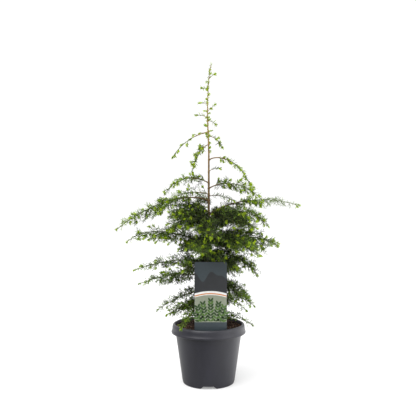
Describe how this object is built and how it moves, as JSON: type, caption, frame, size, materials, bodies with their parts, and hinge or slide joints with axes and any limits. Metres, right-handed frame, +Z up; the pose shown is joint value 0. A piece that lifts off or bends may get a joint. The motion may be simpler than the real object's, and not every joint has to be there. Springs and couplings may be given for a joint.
{
  "type": "potted eastern hemlock",
  "caption": "Young evergreen conifer in a round nursery pot, with arching boughs, drooping flat sprays of needles and a plant label.",
  "frame": {"origin": "centre of the pot's foot, on the surface that the pot stands on", "axes": "+Z up along the pot's axis and the trunk, -Y the front where the label stands, +X to the right seen from the front"},
  "size_m": [0.4758, 0.3973, 0.8081],
  "materials": {
    "pot_plastic": "satin moulded polypropylene",
    "potting_soil": "rough moist peat",
    "label_card": "printed plastic card",
    "bark": "rough young bark",
    "needles": "waxy evergreen needles",
    "young_needles": "soft new needles"
  },
  "bodies": {
    "root": {"bough_back_6": "bark", "bough_front_7": "bark", "bough_left_3": "bark", "bough_left_4": "bark", "bough_left_5": "bark", "bough_left_6": "bark", "bough_right_6": "bark", "bough_right_7": "bark", "bough_right_8": "bark", "bough_right_9": "bark", "foliage_back_1": "needles", "foliage_back_2": "needles", "foliage_back_3": "needles", "foliage_back_4": "needles", "foliage_back_5": "needles", "foliage_back_6": "needles", "foliage_back_7": "needles", "foliage_back_8": "needles", "foliage_back_9": "needles", "foliage_front_1": "needles", "foliage_front_10": "needles", "foliage_front_2": "needles", "foliage_front_3": "needles", "foliage_front_4": "needles", "foliage_front_5": "needles", "foliage_front_6": "needles", "foliage_front_7": "needles", "foliage_front_8": "needles", "foliage_front_9": "needles", "foliage_left_1": "needles", "foliage_left_2": "needles", "foliage_left_3": "needles", "foliage_left_4": "needles", "foliage_left_5": "needles", "foliage_left_6": "needles", "foliage_left_7": "needles", "foliage_left_8": "needles", "foliage_left_9": "needles", "foliage_right_1": "needles", "foliage_right_10": "needles", "foliage_right_2": "needles", "foliage_right_3": "needles", "foliage_right_4": "needles", "foliage_right_5": "needles", "foliage_right_6": "needles", "foliage_right_7": "needles", "foliage_right_8": "needles", "foliage_right_9": "needles", "plant_label": "label_card", "pot": "pot_plastic", "potting_soil": "potting_soil", "sprout_1": "young_needles", "sprout_2": "young_needles", "sprout_3": "young_needles", "sprout_4": "young_needles", "sprout_5": "young_needles", "sprout_6": "young_needles", "sprout_7": "young_needles", "sprout_8": "young_needles", "trunk": "bark"}
  },
  "joints": []
}
